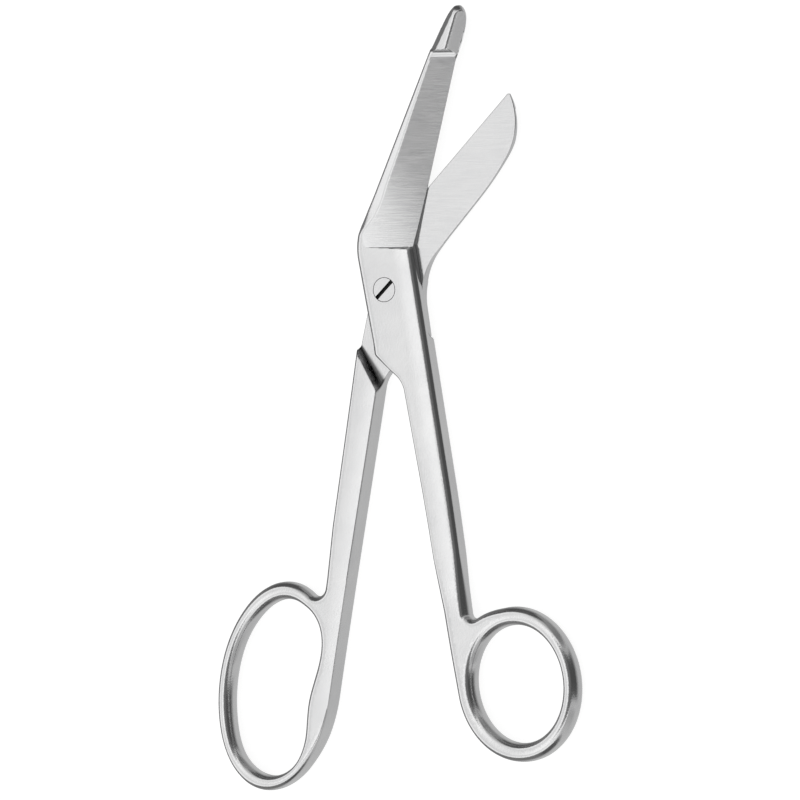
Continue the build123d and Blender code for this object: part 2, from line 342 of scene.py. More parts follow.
def ellipse(centre, half, first, last):
    """Points on an ellipse between two angles in degrees."""
    angles = np.radians(np.linspace(first, last, CURVE_POINTS))
    return np.array(centre) + np.column_stack([half[0] * np.cos(angles), half[1] * np.sin(angles)])


def spline(points, closed):
    """A cubic spline through points."""
    points = np.array(points, float)
    if closed:
        points = np.vstack([points, points[:1]])
    span = np.hypot(*np.diff(points, axis=0).T)
    knots = np.concatenate([[0], np.cumsum(span)])
    slope = np.diff(points, axis=0) / span[:, None]
    count = len(points)
    system, right = np.zeros((count, count)), np.zeros((count, 2))
    for i in range(1, count - 1):
        system[i, i - 1:i + 2] = span[i - 1], 2 * (span[i - 1] + span[i]), span[i]
        right[i] = 6 * (slope[i] - slope[i - 1])
    if closed:
        system[0, 0], system[0, -1] = 1, -1
        system[-1, 0] = 2 * (span[0] + span[-1])
        system[-1, 1], system[-1, -2] = span[0], span[-1]
        right[-1] = 6 * (slope[0] - slope[-1])
    else:
        system[0, 0] = system[-1, -1] = 1
    bend = np.linalg.solve(system, right)
    at = np.linspace(0, knots[-1], CURVE_POINTS)
    i = np.clip(np.searchsorted(knots, at) - 1, 0, count - 2)
    width, before, after = span[i][:, None], (at - knots[i])[:, None], (knots[i + 1] - at)[:, None]
    return (
        (bend[i] * after**3 + bend[i + 1] * before**3) / (6 * width)
        + (points[i] / width - bend[i] * width / 6) * after
        + (points[i + 1] / width - bend[i + 1] * width / 6) * before
    )


def round_notch(side, bow, radius):
    """A handle's outer side and its bow, joined by the round in the notch between them."""
    fine_side = even(side[-2:], NOTCH_PITCH)[-NOTCH_POINTS:]
    heading = fine_side[-1] - fine_side[0]
    left = np.array([-heading[1], heading[0]]) / np.linalg.norm(heading)
    centres = fine_side + left * radius
    start_of_bow = even(bow, NOTCH_PITCH)[:NOTCH_POINTS]
    gap = np.linalg.norm(centres[:, None] - start_of_bow[None], axis=2)
    last = np.nonzero(gap.min(axis=1) >= radius)[0][-1]
    landing = start_of_bow[gap[last].argmin()]
    rest = bow[np.linalg.norm(bow - landing, axis=1).argmin() + 1:]
    return np.vstack([side[:-1], fine_side[last], arc(centres[last], fine_side[last], landing), rest])


def bow_and_notch(half):
    """A bow's centre, where the handle's outer edge lands on it, and its outline from there round."""
    angle = acos((half.end_width - half.bow_half[0]) / half.bow_half[0])
    centre = (half.handle_inner + half.bow_half[0], half.bow_y)
    notch = (half.handle_inner + half.end_width, half.bow_y + half.bow_half[1] * sin(angle))
    bow = ellipse(centre, half.bow_half, np.degrees(angle), -180)
    near = np.clip((centre[0] - bow[:, 0]) / (centre[0] - notch[0]), 0, 1) ** NOTCH_BLEND
    rise = half.notch_rise * near * (bow[:, 1] > half.bow_y)
    side = np.array([half.lap_outer - notch[0], -notch[1]])
    side /= np.linalg.norm(side)
    bow = bow + rise[:, None] * side
    return centre, tuple(bow[0]), bow


def crotch_corner(half):
    """Where a half's heel meets the inner line of its handle."""
    return meet((half.handle_inner, 0), 0, half.heel, 180 - half.heel_angle)


def probe_knee(half):
    """Where the probe half's lap meets its blade's spine."""
    return meet((half.lap_inner, 0), 0, on_blade(half, *half.spine_root), half.knee + half.spine_lean)


def probe_outline(half):
    """Smooth runs of the probe half's outline, clockwise, and its hole."""
    edge_end = (half.edge_offset, half.spine_root[1])
    tip = spline([half.spine_root, *PROBE_SHAPE, edge_end], False)
    centre, notch, bow = bow_and_notch(half)
    wall_lean = lean_of(notch, half.wall_top)
    ricasso = meet(notch, wall_lean, on_blade(half, half.edge_offset, 0), half.knee)
    corners = [
        (half.handle_inner, half.bow_y),
        crotch_corner(half),
        half.heel,
        probe_knee(half),
        on_blade(half, *half.spine_root),
    ]
    runs = [
        rounded(corners, [CROTCH_ROUND, half.heel_round, PROBE_KNEE_ROUND]),
        np.array([on_blade(half, *point) for point in tip]),
        np.array([on_blade(half, *edge_end), ricasso]),
        round_notch(np.array([ricasso, notch]), bow, half.notch_round),
    ]
    return runs, ellipse((centre[0] + half.hole_shift, centre[1]), half.hole_half, 0, 360)


def ring_outline(half):
    """Smooth runs of the large-ring half's outline, clockwise, and its hole."""
    turn = radians(half.spine_lean)
    spine_end = on_blade(
        half,
        half.spine_root[0] + RING_SPINE_STRAIGHT * sin(turn),
        half.spine_root[1] + RING_SPINE_STRAIGHT * cos(turn),
    )
    spine_lean = half.knee + half.spine_lean
    bend = on_blade(half, *RING_SPINE_BEND)
    bend_lean = 2 * lean_of(spine_end, bend) - spine_lean
    belly_end = on_blade(half, half.edge_offset - RING_TIP[1], RING_TIP[0])
    tip = on_blade(half, half.edge_offset, RING_TIP[0] - RING_TIP[1])
    corner = half.wall_top
    shoulder = meet(corner, lean_of(corner, (half.lap_outer, 0)), tip, half.knee)
    centre, notch, bow = bow_and_notch(half)
    corners = [
        (half.handle_inner, half.bow_y),
        crotch_corner(half),
        half.heel,
        on_blade(half, *half.spine_root),
        spine_end,
    ]
    inner_run = [
        rounded(corners, [CROTCH_ROUND, half.heel_round, RING_WAIST_ROUND]),
        tangent_arc(spine_end, spine_lean, bend)[1:],
        tangent_arc(bend, bend_lean, belly_end)[1:],
    ]
    runs = [
        np.vstack(inner_run),
        np.array([belly_end, tip]),
        np.array([tip, shoulder]),
        round_notch(rounded([shoulder, corner, notch], [RING_CORNER_ROUND]), bow, half.notch_round),
    ]
    return runs, spline(np.array(centre) + np.array(LONG_HOLE) * half.bow_half, True)


def sway(path, half):
    """An outline whose bow is set to one side of the handle's straight line."""
    return path + np.outer(ease(fade(path[:, 1], 0, half.sway_span)), half.sway)


# Surfaces


def level(points, half):
    """Half-frame points turned so that x and y lie along the shared frame's axes."""
    turn = radians(half.lean)
    x, y = points[:, 0], points[:, 1]
    return np.column_stack([x * cos(turn) - y * sin(turn), x * sin(turn) + y * cos(turn)])


def own(points, half):
    """The reverse of level."""
    turn = radians(half.lean)
    x, y = points[:, 0], points[:, 1]
    return x * cos(turn) + y * sin(turn), y * cos(turn) - x * sin(turn)


def lift(past, run_out):
    """Height of a hollow run-out, by how far a point is past its start."""
    run, rise = run_out
    radius = (run**2 + rise**2) / (2 * rise)
    past = np.clip(past, 0, min(run, radius))
    return radius - np.sqrt(radius**2 - past**2)


def least(surfaces, soft):
    """The lowest of several surfaces, with soft creases where they meet."""
    surfaces = np.array(surfaces)
    lowest = surfaces.min(axis=0)
    return lowest - soft * np.log(np.exp((lowest - surfaces) / soft).sum(axis=0))


def ground_height(half, across, along):
    """The ground flat that falls from the blade's crest to its edge."""
    tilt, skew = radians(GRIND_TILT), radians(GRIND_SKEW)
    out = across - half.edge_offset
    size = np.hypot(cos(tilt), sin(tilt) * sin(skew))
    run = (-sin(skew) * out / cos(tilt) + cos(skew) * cos(tilt) * along) / size
    roll = GRIND_ROLL * out**2 * ease(fade(along, 0, GRIND_ROLL_SPAN))
    flat = LAP_FACE + EDGE_LAND - out * tan(tilt) - roll
    start = lift(half.shoulder + GRIND_RUN_OUT[0] - run, GRIND_RUN_OUT)
    end, cove = half.cove
    finish = lift(run - end + cove, (cove, cove))
    near_wall = GRIND_WALLS[0] * np.clip(half.shoulder - run, 0, None)
    far_wall = GRIND_WALLS[1] * np.clip(run - end, 0, None)
    return flat + (start + finish) / cos(tilt) + (near_wall + far_wall)


def bevel_height(across, along, root, lean, height, slope, span, run_out):
    """A sloping flat along a line on a blade, with a run-out at its start."""
    turn = radians(lean)
    start, end = span
    inside = (across - root[0]) * cos(turn) - (along - root[1]) * sin(turn)
    run = (across - root[0]) * sin(turn) + (along - root[1]) * cos(turn)
    walls = BEVEL_WALL * (np.clip(start - run, 0, None) + np.clip(run - end, 0, None))
    return height + inside * tan(radians(slope)) + lift(start + run_out[0] - run, run_out) + walls


def spine_height(half, across, along):
    """The bevel along a blade's spine."""
    span = (0, RING_SPINE_LENGTH)
    if half is PROBE:
        root, knee = on_blade(half, *half.spine_root), probe_knee(half)
        span = (-np.hypot(root[0] - knee[0], root[1] - knee[1]), PROBE_SPINE_PAST)
    height = LAP_FACE + SPINE_WALL
    return bevel_height(
        across, along, half.spine_root, half.spine_lean, height, SPINE_SLOPE, span, SPINE_RUN_OUT
    )


def hollow_height(across, along):
    """The probe's hollow-ground flank, steepest at the ridge."""
    turn = radians(PROBE_HOLLOW.lean)
    dx, dy = across - PROBE_HOLLOW.root[0], along - PROBE_HOLLOW.root[1]
    out, run = dy * sin(turn) - dx * cos(turn), dx * sin(turn) + dy * cos(turn)
    share = np.clip(out / PROBE_HOLLOW.width, -1, 1)
    fall = np.where(share > 0, PROBE_HOLLOW.depth * (1 - (1 - share) ** 2), PROBE_HOLLOW.back * share)
    start = lift(FACET_START + FACET_RUN_OUT[0] - run, FACET_RUN_OUT)
    wall = BEVEL_WALL * np.clip(FACET_START - run, 0, None)
    return PROBE_RIDGE - fall + start + wall


def facet_height(across, along):
    """The probe's plain facet, beside its ridge."""
    facet, span = PROBE_FACET, (FACET_START, PROBE_LENGTH)
    return bevel_height(
        across, along, facet.root, facet.lean, PROBE_RIDGE, facet.slope, span, FACET_RUN_OUT
    )


def nose_height(along):
    """The probe's nose, which bends down at its tip."""
    nose = PROBE_RIDGE - lift(along - PROBE_TIP + PROBE_NOSE[0], PROBE_NOSE)
    return nose + OUT_OF_THE_WAY * (along < PROBE_ROOT)


def crown(half, x, y, forging):
    """How far a handle's outer face falls as it nears its outer edge."""
    notch = bow_and_notch(half)[1]
    lean = radians(lean_of(notch, half.wall_top))
    inside = (notch[0] - x) * cos(lean) + (y - notch[1]) * sin(lean)
    near = np.clip((CROWN.reach - inside) / CROWN.run, 0, CROWN.most)
    return forging.face_crown / MM * near**2 * fade(y, notch[1], CROWN.start)


def outer_face(half, points, drop, forging):
    """Height of a half's outer face, and how much of it is cross-ground."""
    x, y = own(points, half)
    across, along = from_edge(half, x, y)
    cap = THICKNESS - crown(half, x, y, forging) - drop
    cuts = [ground_height(half, across, along), spine_height(half, across, along)]
    if half is PROBE:
        cap = np.where(along > PROBE_ROOT, PROBE_RIDGE - drop, cap)
        cap = least([cap, facet_height(across, along)], PROBE_FACET.soft)
        cuts += [hollow_height(across, along), nose_height(along)]
    behind_edge = across < half.edge_offset - CUTTING_STRIP
    dropped = drop * np.maximum(behind_edge, fade(along, PROBE_ROOT, PROBE_EDGE_START))
    above = THICKNESS + OUT_OF_THE_WAY
    surfaces = [cap] + [np.where(along > 0, cut - dropped, above) for cut in cuts]
    height = np.maximum(least(surfaces, forging.crease / MM), inner_side(half, points) + LEAST_WALL)
    return height, (np.argmin(surfaces, axis=0) == 1).astype(float)


def on_lap(half, points):
    """Share of the cross-ground finish on a half's inner side: its lap and blade."""
    return LAP_GRAIN * fade(own(points, half)[1], half.step_outer[0], LAP_GRAIN_START)


def step_edges(half, x):
    """Where a step's foot and its lip lie along the handle, for places across it."""
    share = (x - half.step_span[0]) / (half.step_span[1] - half.step_span[0])
    return [inner + share * (outer - inner) for inner, outer in zip(half.step_inner, half.step_outer)]


def recess(half, points):
    """How deep in the hollow of the step a point lies, from 0 to 1, which sets how much painted shade lies
    there.
    """
    x, y = own(points, half)
    foot, lip = step_edges(half, x)
    part = (foot - y) / np.maximum(foot - lip, STEP_LEAST)
    return np.clip(np.sin(pi * fade(part, 0, RECESS_PARTS)) * RECESS_GAIN, 0, 1)


def inner_side(half, points):
    """Height of a half's inner side: its lap face, and the hollow step down to the handle."""
    x, y = own(points, half)
    foot, lip = step_edges(half, x)
    part = np.clip((foot - y) / np.maximum(foot - lip, STEP_LEAST), 0, 1)
    height = LAP_FACE * (1 - part**STEP_POWER)
    near = np.clip((INNER_ROLL.reach - x + half.handle_inner) / INNER_ROLL.run, 0, INNER_ROLL.most)
    roll = INNER_ROLL.depth * near**2 * fade(y, half.bow_y, INNER_ROLL.start)
    height = np.maximum(height, np.where(y < lip + LIP_MARGIN, roll, 0))
    height = np.where(y > half.step_outer[0], LAP_FACE, height)
    if half is PROBE:
        across, along = from_edge(half, x, y)
        away = ((across - PAD.centre[0]) / PAD.half[0]) ** 2 + ((along - PAD.centre[1]) / PAD.half[1]) ** 2
        height = height - PAD.drop * np.sqrt(np.clip(1 - away**2, 0, 1))
    return height


def swell_side(half, x, y):
    """Where the handle's inner edge runs on along the finger swell of the long bow."""
    middle = half.handle_inner + half.bow_half[0]
    reach = ((x - middle) / half.bow_half[0]) ** 2 + ((y - half.bow_y) / half.bow_half[1]) ** 2
    share = fade(reach, 0, SWELL_RIM) * fade(x, middle, SWELL_SIDE)
    return share * fade(y, half.bow_y, SWELL_START) * fade(y, half.bow_y, SWELL_END)


def edge_rounds(half, points, forging):
    """Radius of the rounded edges round an outline, and the heel's and the bow's part of it."""
    x, y = own(points, half)
    broad, bow = forging.outer_round / MM, forging.bow_round / MM
    inside = fade(x, half.handle_inner, INNER_START)
    plain = fade(y, half.bow_y + half.bow_half[1], BOW_TOP)
    if half.turned:
        inside = np.maximum(inside, swell_side(half, x, y))
        plain = np.maximum(inside, plain)
    rounds = broad + (half.inner_round - broad) * inside
    rounds = bow + (rounds - bow) * plain
    lap = fade(y, half.heel[1], LAP_START) * fade(x, half.handle_inner, LAP_SIDE) * (x < 0)
    rounds = rounds + (half.lap_round - rounds) * lap
    blade = fade(from_edge(half, x, y)[1], half.shoulder, BLADE_START)
    rounds = rounds + (half.inner_round - rounds) * blade
    crotch = half.heel[1] - (half.handle_inner - half.lap_inner) / tan(radians(half.heel_angle))
    heel = fade(y, half.heel[1], HEEL_START) * fade(y, crotch + half.heel_fade, HEEL_END)
    return rounds, heel * (x < half.handle_inner + HEEL_SIDE), 1 - plain


# Meshes


def inward(loop):
    """Mitred normals of a closed loop, towards the material on its left."""
    on = np.roll(loop, -1, axis=0) - loop
    on /= np.linalg.norm(on, axis=1)[:, None]
    left = np.column_stack([-on[:, 1], on[:, 0]])
    before = np.roll(left, 1, axis=0)
    return (left + before) / np.maximum(1 + (left * before).sum(axis=1), MITRE_LEAST)[:, None]


def soften(values, reach=4):
    """Values round a loop, averaged with their neighbours."""
    return np.mean([np.roll(values, shift) for shift in range(-reach, reach + 1)], axis=0)


def signed_area(loop):
    """Area of a closed loop, positive if it runs anticlockwise."""
    on = np.roll(loop, -1, axis=0)
    return (loop[:, 0] * on[:, 1] - loop[:, 1] * on[:, 0]).sum() / 2


def within(points, loop):
    """Whether points lie inside a closed loop."""
    inside = np.zeros(len(points), bool)
    for start, end in zip(loop, np.roll(loop, -1, axis=0)):
        crosses = (start[1] > points[:, 1]) != (end[1] > points[:, 1])
        if crosses.any():
            x = start[0] + (points[:, 1] - start[1]) * (end[0] - start[0]) / (end[1] - start[1] or 1)
            inside ^= crosses & (points[:, 0] < x)
    return inside


def nearest(points):
    """A search tree over points."""
    tree = KDTree(len(points))
    for i, point in enumerate(points):
        tree.insert((*point, 0), i)
    tree.balance()
    return tree


def row_pitch(row, forging):
    """Spacing of a face's points, closer at the probe and at the grinds' shoulders."""
    if row > PROBE_ROWS:
        return forging.probe_pitch / MM
    if SHOULDER_ROWS[0] < row < SHOULDER_ROWS[1]:
        return forging.blade_pitch / MM / 2
    return (forging.blade_pitch if row > HANDLE_ROWS else forging.handle_pitch) / MM


def step_lines(half):
    """Lines across the hollow step, closer together towards its lip."""
    before, after = STEP_LINE_PAST
    x = np.arange(half.step_span[0] - before, half.step_span[1] + after, STEP_LINE_PITCH)
    foot, lip = step_edges(half, x)
    return [level(np.column_stack([x, foot + part * (lip - foot)]), half) for part in STEP_LINES]


def grid_points(loops, forging, lines):
    """Points along lines and on staggered rows between closed loops, clear of their edges."""
    starts = np.vstack(loops)
    ends = np.vstack([np.roll(loop, -1, axis=0) for loop in loops])
    tree = nearest(starts)
    points, kept = [], []
    for line in lines:
        line = line[within(line, loops[0])]
        clear = [tuple(point) for point in line if tree.find((*point, 0))[2] > LINE_CLEARANCE]
        points += clear
        kept.append(len(clear))
    tree = nearest([*starts, *points])
    row, odd = starts[:, 1].min(), False
    while row < starts[:, 1].max():
        pitch = row_pitch(row, forging)
        crossing = (starts[:, 1] <= row) != (ends[:, 1] <= row)
        a, b = starts[crossing], ends[crossing]
        xs = np.sort(a[:, 0] + (row - a[:, 1]) * (b[:, 0] - a[:, 0]) / (b[:, 1] - a[:, 1]))
        for left, right in zip(xs[::2], xs[1::2]):
            first = np.ceil((left + pitch / 2) / pitch) * pitch + odd * pitch / 2
            for x in np.arange(first, right - pitch / 2, pitch):
                if tree.find((x, row, 0))[2] > GRID_CLEARANCE * pitch:
                    points.append((x, row))
        row += pitch * ROW_SHARE
        odd = not odd
    return np.array(points), kept


def smooth(mesh):
    """Shade a mesh smooth, apart from its sharp edges."""
    mesh.polygons.foreach_set("use_smooth", [True] * len(mesh.polygons))
    mesh.set_sharp_from_angle(angle=SHARP_ANGLE)


class Shell:
    """Vertices, faces, finish and painted shade of a closed mesh that is put together ring by ring."""

    def __init__(self):
        self.points, self.ground, self.dull, self.faces, self.count = [], [], [], [], 0

    def add(self, plan, height, ground=None, dull=None):
        """Add points with their finish and painted shade, and return their numbers."""
        height = np.broadcast_to(height, len(plan))
        self.points.append(np.column_stack([plan, height]))
        self.ground.append(np.zeros(len(plan)) if ground is None else ground)
        self.dull.append(np.zeros(len(plan)) if dull is None else dull)
        self.count += len(plan)
        return np.arange(self.count - len(plan), self.count)

    def bridge(self, rings):
        """Join rings of points, from the first one down."""
        for upper, lower in zip(rings, rings[1:]):
            self.faces += zip(lower, np.roll(lower, -1), np.roll(upper, -1), upper)

    def fill(self, rings, face, forging, flip=False, lines=()):
        """Close a face between boundary rings, on a grid of its own points and lines."""
        flat = np.vstack(self.points)[:, :2]
        loops = [flat[ring] for ring in rings]
        inside, kept = grid_points(loops, forging, lines)
        extra = self.add(inside, *face(inside))
        ids = np.concatenate([*rings, extra])
        edges, start = [], 0
        for ring in rings:
            count = len(ring)
            edges += [(start + i, start + (i + 1) % count) for i in range(count)]
            start += count
        for length in kept:
            edges += [(start + i, start + i + 1) for i in range(length - 1)]
            start += length
        coords = [tuple(point) for point in np.vstack([*loops, inside])]
        found = delaunay_2d_cdt(coords, edges, [], 1, 1e-6)
        out = np.array([tuple(point) for point in found[0]])
        crossed = [tuple(found[0][i]) for i, original in enumerate(found[3]) if not original]
        if crossed:
            raise RuntimeError(f"An edge's round is too large for the outline near {crossed[:4]}")
        back = [ids[original[0]] for original in found[3]]
        triangles = np.array(found[2])
        middles = out[triangles].mean(axis=1)
        keep = np.ones(len(triangles), bool)
        for hole in loops[1:]:
            keep &= ~within(middles, hole)
        for corners in triangles[keep]:
            corners = corners[::-1] if flip else corners
            self.faces.append(tuple(back[i] for i in corners))

    def mesh(self, name, turned):
        """The mesh in the shared frame, turned over for the half that lies underneath."""
        points = np.vstack(self.points)
        if turned:
            points = points * (-1, 1, -1) + (0, 0, THICKNESS)
        mesh = bpy.data.meshes.new(name)
        mesh.from_pydata((points * MM).tolist(), [], [tuple(int(i) for i in face) for face in self.faces])
        for label, values in (("cross_ground", self.ground), ("unpolished", self.dull)):
            finish = mesh.attributes.new(label, "FLOAT", "POINT")
            finish.data.foreach_set("value", np.concatenate(values))
        smooth(mesh)
        mesh.validate()
        return mesh


def edge_rings(shell, half, loop, other, most, forging):
    """Rings of points over an outline's rounded edges, from the outer face to the inner side."""
    normal = inward(loop)
    facing = nearest(other)
    width = np.array([facing.find((*point, 0))[2] for point in loop])
    rounds, heel, bow = edge_rounds(half, loop, forging)
    rounds = soften(np.minimum(rounds, most * width))
    low_rounds = soften(rounds + (half.heel_chamfer - rounds) * heel)
    outer_deepest, inner_deepest = UPPER_DEEPEST, UNDER_DEEPEST
    if half.turned:
        outer_deepest, inner_deepest = inner_deepest, outer_deepest
    depths = rounds * (1 + forging.bow_depth * bow)
    chamfer = forging.edge_break / MM * (1 - heel) + half.heel_chamfer * heel
    rings, low_rings = [], []
    for angle in EDGE_ANGLES:
        plan = loop + normal * (rounds * (1 - cos(angle)))[:, None]
        drop = np.minimum(depths, outer_deepest) * (1 - sin(angle))
        height, ground = outer_face(half, plan, drop, forging)
        rings.append(shell.add(plan, height, ground))
    for angle in EDGE_ANGLES:
        inset = low_rounds * (1 - cos(angle))
        plan = loop + normal * inset[:, None]
        broken = inner_side(half, plan) + np.clip(chamfer - inset, 0, None)
        low = np.maximum(broken, np.minimum(depths, inner_deepest) * (1 - sin(angle)))
        low_rings.append((plan, np.minimum(low, height - LEAST_EDGE)))
    plan, low = low_rings[-1]
    rings += [shell.add(plan, height + (low - height) * share) for share in WALL_SHARES]
    # The lower rings carry the painted shade of the step's hollow
    rings += [shell.add(plan, low, None, recess(half, plan)) for plan, low in low_rings[::-1]]
    return rings


def forge(half, name, outline, bore, forging):
    """Mesh of one half of the scissors, from its outline and the surfaces cut into it."""
    pitch = forging.outline_pitch / MM
    runs, hole = outline(half)
    outer = sway(np.vstack([even(run, pitch)[:-1] for run in runs])[::-1], half)
    hole = sway(even(hole, pitch)[:-1], half)
    hole = hole[::-1] if signed_area(hole) > 0 else hole
    loops = [level(outer, half), level(hole, half)]
    turn = np.linspace(0, -2 * pi, BORE_SIDES, endpoint=False)
    circle = np.column_stack([np.cos(turn), np.sin(turn)])
    shell = Shell()
    edges = [
        edge_rings(shell, half, loop, other, most, forging)
        for loop, other, most in zip(loops, loops[::-1], EDGE_MOST)
    ]
    edges.append([shell.add(circle * radius, height) for radius, height in bore])
    for rings in edges:
        shell.bridge(rings)

    # The inner side's height, its cross-ground share and its painted shade in the step's hollow
    def inner_face(plan):
        return inner_side(half, plan), on_lap(half, plan), recess(half, plan)

    shell.fill([rings[0] for rings in edges], lambda plan: outer_face(half, plan, 0, forging), forging)
    shell.fill([rings[-1] for rings in edges], inner_face, forging, True, step_lines(half))
    piece = bpy.data.objects.new(name, shell.mesh(name, half.turned))
    bpy.context.scene.collection.objects.link(piece)
    return piece


# Nodes


def feed(tree, value, socket):
    """Link a socket to an output, or set it to a constant."""
    if isinstance(value, bpy.types.NodeSocket):
        tree.links.new(value, socket)
    else:
        socket.default_value = value


def node(tree, kind, place, **values):
    """Add a node, set its properties and feed its inputs."""
    made = tree.nodes.new(kind)
    made.location = place
    for key, value in values.items():
        if key in made.inputs:
            feed(tree, value, made.inputs[key])
        else:
            setattr(made, key, value)
    return made


def calculate(tree, operation, a, b=0.0):
    """Add a calculation with one or two values, and return its output."""
    made = node(tree, "ShaderNodeMath", (-200, -400), operation=operation)
    feed(tree, a, made.inputs[0])
    feed(tree, b, made.inputs[1])
    return made.outputs[0]


def map_range(tree, place, value, source, target):
    """Add a node that maps one range of values to another, and return its output."""
    ends = dict(zip(("From Min", "From Max", "To Min", "To Max"), (*source, *target)))
    return node(tree, "ShaderNodeMapRange", place, Value=value, **ends).outputs["Result"]


def mix(tree, place, factor, a, b, **kind):
    """Add a node that mixes two numbers or colours, and return its output."""
    return node(tree, "ShaderNodeMix", place, **kind, Factor=factor, A=a, B=b).outputs["Result"]


def noise(tree, place, vector, **values):
    """Add a noise texture, and return its output."""
    return node(tree, "ShaderNodeTexNoise", place, Vector=vector, **values).outputs["Fac"]


def attribute(tree, place, name):
    """Read one of a mesh's attributes, and return its output."""
    return node(tree, "ShaderNodeAttribute", place, attribute_name=name).outputs["Fac"]


# Materials

SATIN_SPREAD = (-0.05, 0.07)
SCREW_SATIN = 0.03


def metal(name):
    """A bare metal material, its node tree and its shader's inputs."""
    material = bpy.data.materials.new(name)
    material.use_nodes = True
    shader = material.node_tree.nodes["Principled BSDF"].inputs
    shader["Metallic"].default_value = 1
    return material, material.node_tree, shader


def steel(name, settings, satin):
    """Stainless steel: satin all over, cross-ground where the attribute says, a little handled, and darkened
    with painted shade in the hollow of the step.
    """
    material, tree, shader = metal(name)
    spot = node(tree, "ShaderNodeTexCoord", (-1400, 0)).outputs["Object"]
    stretched = node(tree, "ShaderNodeMapping", (-1200, 200), Vector=spot, Scale=(170, 4200, 170))
    grain = noise(tree, (-1000, 200), stretched.outputs["Vector"], Scale=1.0, Detail=4.0, Roughness=0.6)
    fine = noise(tree, (-1000, -50), spot, Scale=2600.0, Detail=3.0)
    cloud = noise(tree, (-1000, -300), spot, Scale=75.0, Detail=5.0, Roughness=0.62)
    ground = attribute(tree, (-1000, 450), "cross_ground")
    hollow = attribute(tree, (-500, 600), "unpolished")

    handled = map_range(tree, (-500, 350), cloud, (0.3, 0.7), (0, 1))
    lines = map_range(tree, (-700, 500), grain, (0.38, 0.62), (-0.1, 1.1))
    streak = mix(tree, (-450, 500), ground, handled, lines)
    dark, light = (*settings.steel_dark, 1), (*settings.steel_light, 1)
    tone = mix(tree, (-300, 350), streak, dark, light, data_type="RGBA", clamp_factor=False)
    # Painted shade: the steel turns dark in the hollow of the step
    dull = mix(tree, (-100, 450), hollow, tone, (*settings.step_shade_colour, 1), data_type="RGBA")
    feed(tree, dull, shader["Base Color"])

    pattern = mix(tree, (-700, 150), ground, fine, grain)
    rough = map_range(tree, (-400, 0), pattern, (0, 1), [satin + spread for spread in SATIN_SPREAD])
    feed(tree, rough, shader["Roughness"])
    bump = node(tree, "ShaderNodeBump", (-300, -250), Strength=0.6, Distance=0.00003, Height=pattern)
    feed(tree, bump.outputs["Normal"], shader["Normal"])
    return material


def slot_shade_and_dirt(name, settings):
    """Dark, rough steel in the driver slot: painted shade of the deep slot, together with dirt."""
    material, tree, shader = metal(name)
    spot = node(tree, "ShaderNodeTexCoord", (-900, 0)).outputs["Object"]
    grime = noise(tree, (-700, 0), spot, Scale=1500.0, Detail=3.0)
    dark, light = (*settings.slot_shade_and_dirt_colour, 1), (*(2 * value for value in settings.slot_shade_and_dirt_colour), 1)
    tone = mix(tree, (-400, 100), grime, dark, light, data_type="RGBA")
    feed(tree, tone, shader["Base Color"])
    rough = map_range(tree, (-400, -200), grime, (0, 1), (0.4, 0.6))
    feed(tree, rough, shader["Roughness"])
    return material


# Screw

SCREW_SIZES = (
    "Head Radius",
    "Head Depth",
    "Journal Radius",
    "Thread Radius",
    "Thread Pitch",
    "Thread Depth",
    "Slot Width",
    "Slot Depth",
    "Slot Angle",
    "Edge Break",
)
SLOT_MARGIN = 0.01


